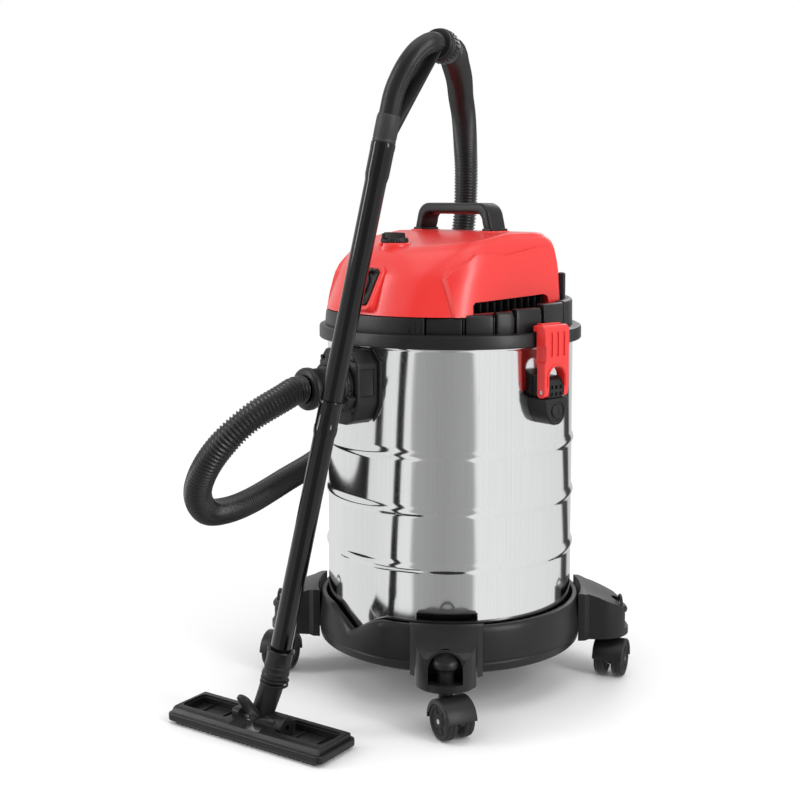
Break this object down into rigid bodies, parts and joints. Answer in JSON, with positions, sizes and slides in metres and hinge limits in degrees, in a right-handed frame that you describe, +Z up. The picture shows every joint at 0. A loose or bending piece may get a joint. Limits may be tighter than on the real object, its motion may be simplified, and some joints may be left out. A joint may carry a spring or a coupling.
{
  "type": "shop vacuum",
  "caption": "Canister wet and dry vacuum: steel drum on a caster dolly, clip-on red motor head with carry handle, ribbed hose, wand and floor nozzle.",
  "frame": {"origin": "on the floor, under the middle of the whole set without the hose and its cuff", "axes": "+Z up, the hose inlet faces -Y, the latches are at +X and -X"},
  "size_m": [0.4128, 0.5618, 0.8211],
  "materials": {
    "steel": "polished stainless sheet with a fine vertical grain",
    "black_plastic": "fine-grained moulded black",
    "gloss_black": "glossy moulded black",
    "red_plastic": "satin red moulding",
    "rubber": "matt black rubber",
    "grey_metal": "bare turned metal",
    "motor_metal": "grey laminated can",
    "paper": "pleated filter paper",
    "white_plastic": "plain moulded off-white",
    "hose_plastic": "ribbed black blow-moulded hose"
  },
  "bodies": {
    "drum_base": {"drum": "steel", "base_ring": "black_plastic", "caster_arm_front_right": "black_plastic", "caster_arm_rear_right": "black_plastic", "caster_arm_rear_left": "black_plastic", "caster_arm_front_left": "black_plastic", "inlet_housing": "black_plastic", "latch_bracket_right": "black_plastic", "latch_bracket_left": "black_plastic", "latch_pin_right": "grey_metal", "latch_pin_left": "grey_metal", "hose_cuff": "black_plastic", "hose": "hose_plastic"},
    "head": {"lid_ring": "black_plastic", "lid_gasket": "rubber", "motor_cover": "red_plastic", "vent_grille_right": "black_plastic", "vent_grille_left": "black_plastic", "carry_handle": "black_plastic", "socket_plate": "black_plastic", "blower_outlet": "black_plastic", "cable_gland": "black_plastic", "fan_housing": "white_plastic", "motor": "motor_metal", "filter_cage": "black_plastic", "filter_cartridge": "paper"},
    "latch_right": {"latch_clip_right": "red_plastic"},
    "latch_left": {"latch_clip_left": "red_plastic"},
    "knob": {"selector_knob": "black_plastic"},
    "flap": {"socket_flap": "black_plastic"},
    "rotor": {"impeller": "grey_metal", "motor_shaft": "grey_metal"},
    "float": {"float_ball": "white_plastic"},
    "connector": {"inlet_connector": "black_plastic"},
    "wand": {"lower_tube": "gloss_black", "upper_tube": "gloss_black", "handle_cuff": "black_plastic", "handle_tube": "gloss_black", "nozzle_neck": "black_plastic"},
    "swivel": {"hose_swivel": "black_plastic"},
    "nozzle": {"nozzle_body": "black_plastic", "nozzle_strip_front": "rubber", "nozzle_strip_rear": "rubber", "neck_pin": "grey_metal"},
    "caster_front_right": {"caster_hood_front_right": "black_plastic"},
    "wheels_front_right": {"caster_wheel_a_front_right": "rubber", "caster_wheel_b_front_right": "rubber", "caster_axle_front_right": "grey_metal"},
    "caster_rear_right": {"caster_hood_rear_right": "black_plastic"},
    "wheels_rear_right": {"caster_wheel_a_rear_right": "rubber", "caster_wheel_b_rear_right": "rubber", "caster_axle_rear_right": "grey_metal"},
    "caster_rear_left": {"caster_hood_rear_left": "black_plastic"},
    "wheels_rear_left": {"caster_wheel_a_rear_left": "rubber", "caster_wheel_b_rear_left": "rubber", "caster_axle_rear_left": "grey_metal"},
    "caster_front_left": {"caster_hood_front_left": "black_plastic"},
    "wheels_front_left": {"caster_wheel_a_front_left": "rubber", "caster_wheel_b_front_left": "rubber", "caster_axle_front_left": "grey_metal"}
  },
  "joints": [
    {"name": "head_lift", "type": "slide", "parent": "drum_base", "child": "head", "axis": [0, 0, 1], "range_m": [0, 0.1]},
    {"name": "latch_right_open", "type": "hinge", "parent": "drum_base", "child": "latch_right", "pos_m": [0.17411, 0.10181, 0.394], "axis": [0, 1, 0], "range_deg": [0, 90]},
    {"name": "latch_left_open", "type": "hinge", "parent": "drum_base", "child": "latch_left", "pos_m": [-0.18589, 0.10181, 0.394], "axis": [0, -1, 0], "range_deg": [0, 90]},
    {"name": "knob_turn", "type": "hinge", "parent": "head", "child": "knob", "pos_m": [-0.00589, 0.00481, 0.57], "axis": [0, 0, 1], "range_deg": [-60, 60]},
    {"name": "flap_open", "type": "hinge", "parent": "head", "child": "flap", "pos_m": [-0.00589, -0.04666, 0.53994], "axis": [-1, 0, 0], "range_deg": [0, 100], "stiffness_Nm_per_rad": 0.02, "springref_deg": -20.05},
    {"name": "rotor_spin", "type": "hinge", "parent": "head", "child": "rotor", "pos_m": [-0.00589, 0.10181, 0.475], "axis": [0, 0, 1], "continuous": true},
    {"name": "float_rise", "type": "slide", "parent": "head", "child": "float", "axis": [0, 0, 1], "range_m": [0, 0.105]},
    {"name": "connector_twist", "type": "hinge", "parent": "drum_base", "child": "connector", "pos_m": [-0.00589, -0.08819, 0.4], "axis": [0, -1, 0], "range_deg": [0, 30]},
    {"name": "wand_lift", "type": "slide", "parent": "drum_base", "child": "wand", "axis": [0, 0, 1], "range_m": [0, 0.12]},
    {"name": "swivel_turn", "type": "hinge", "parent": "wand", "child": "swivel", "pos_m": [0.13261, -0.05419, 0.803], "axis": [-0.4246, 0.8997, -0.1011], "continuous": true},
    {"name": "nozzle_tilt", "type": "hinge", "parent": "wand", "child": "nozzle", "pos_m": [0.00811, -0.22019, 0.018], "axis": [0.9703, 0.2419, 0], "range_deg": [-15, 20]},
    {"name": "caster_swivel_front_right", "type": "hinge", "parent": "drum_base", "child": "caster_front_right", "pos_m": [0.14967, -0.05375, 0.05], "axis": [0, 0, 1], "continuous": true},
    {"name": "wheels_roll_front_right", "type": "hinge", "parent": "caster_front_right", "child": "wheels_front_right", "pos_m": [0.16429, -0.05713, 0.023], "axis": [-0.225, -0.9744, 0], "continuous": true},
    {"name": "caster_swivel_rear_right", "type": "hinge", "parent": "drum_base", "child": "caster_rear_right", "pos_m": [0.14967, 0.25737, 0.05], "axis": [0, 0, 1], "continuous": true},
    {"name": "wheels_roll_rear_right", "type": "hinge", "parent": "caster_rear_right", "child": "wheels_rear_right", "pos_m": [0.15601, 0.24378, 0.023], "axis": [-0.9063, -0.4226, 0], "continuous": true},
    {"name": "caster_swivel_rear_left", "type": "hinge", "parent": "drum_base", "child": "caster_rear_left", "pos_m": [-0.16146, 0.25737, 0.05], "axis": [0, 0, 1], "continuous": true},
    {"name": "wheels_roll_rear_left", "type": "hinge", "parent": "caster_rear_left", "child": "wheels_rear_left", "pos_m": [-0.14697, 0.25349, 0.023], "axis": [-0.2588, -0.9659, 0], "continuous": true},
    {"name": "caster_swivel_front_left", "type": "hinge", "parent": "drum_base", "child": "caster_front_left", "pos_m": [-0.16146, -0.05375, 0.05], "axis": [0, 0, 1], "continuous": true},
    {"name": "wheels_roll_front_left", "type": "hinge", "parent": "caster_front_left", "child": "wheels_front_left", "pos_m": [-0.15465, -0.06712, 0.023], "axis": [-0.891, -0.454, 0], "continuous": true}
  ],
  "couplings": [
    {"joint": "latch_right_open", "follows": "head_lift", "rad_per_m": 15},
    {"joint": "latch_left_open", "follows": "head_lift", "rad_per_m": 15}
  ]
}
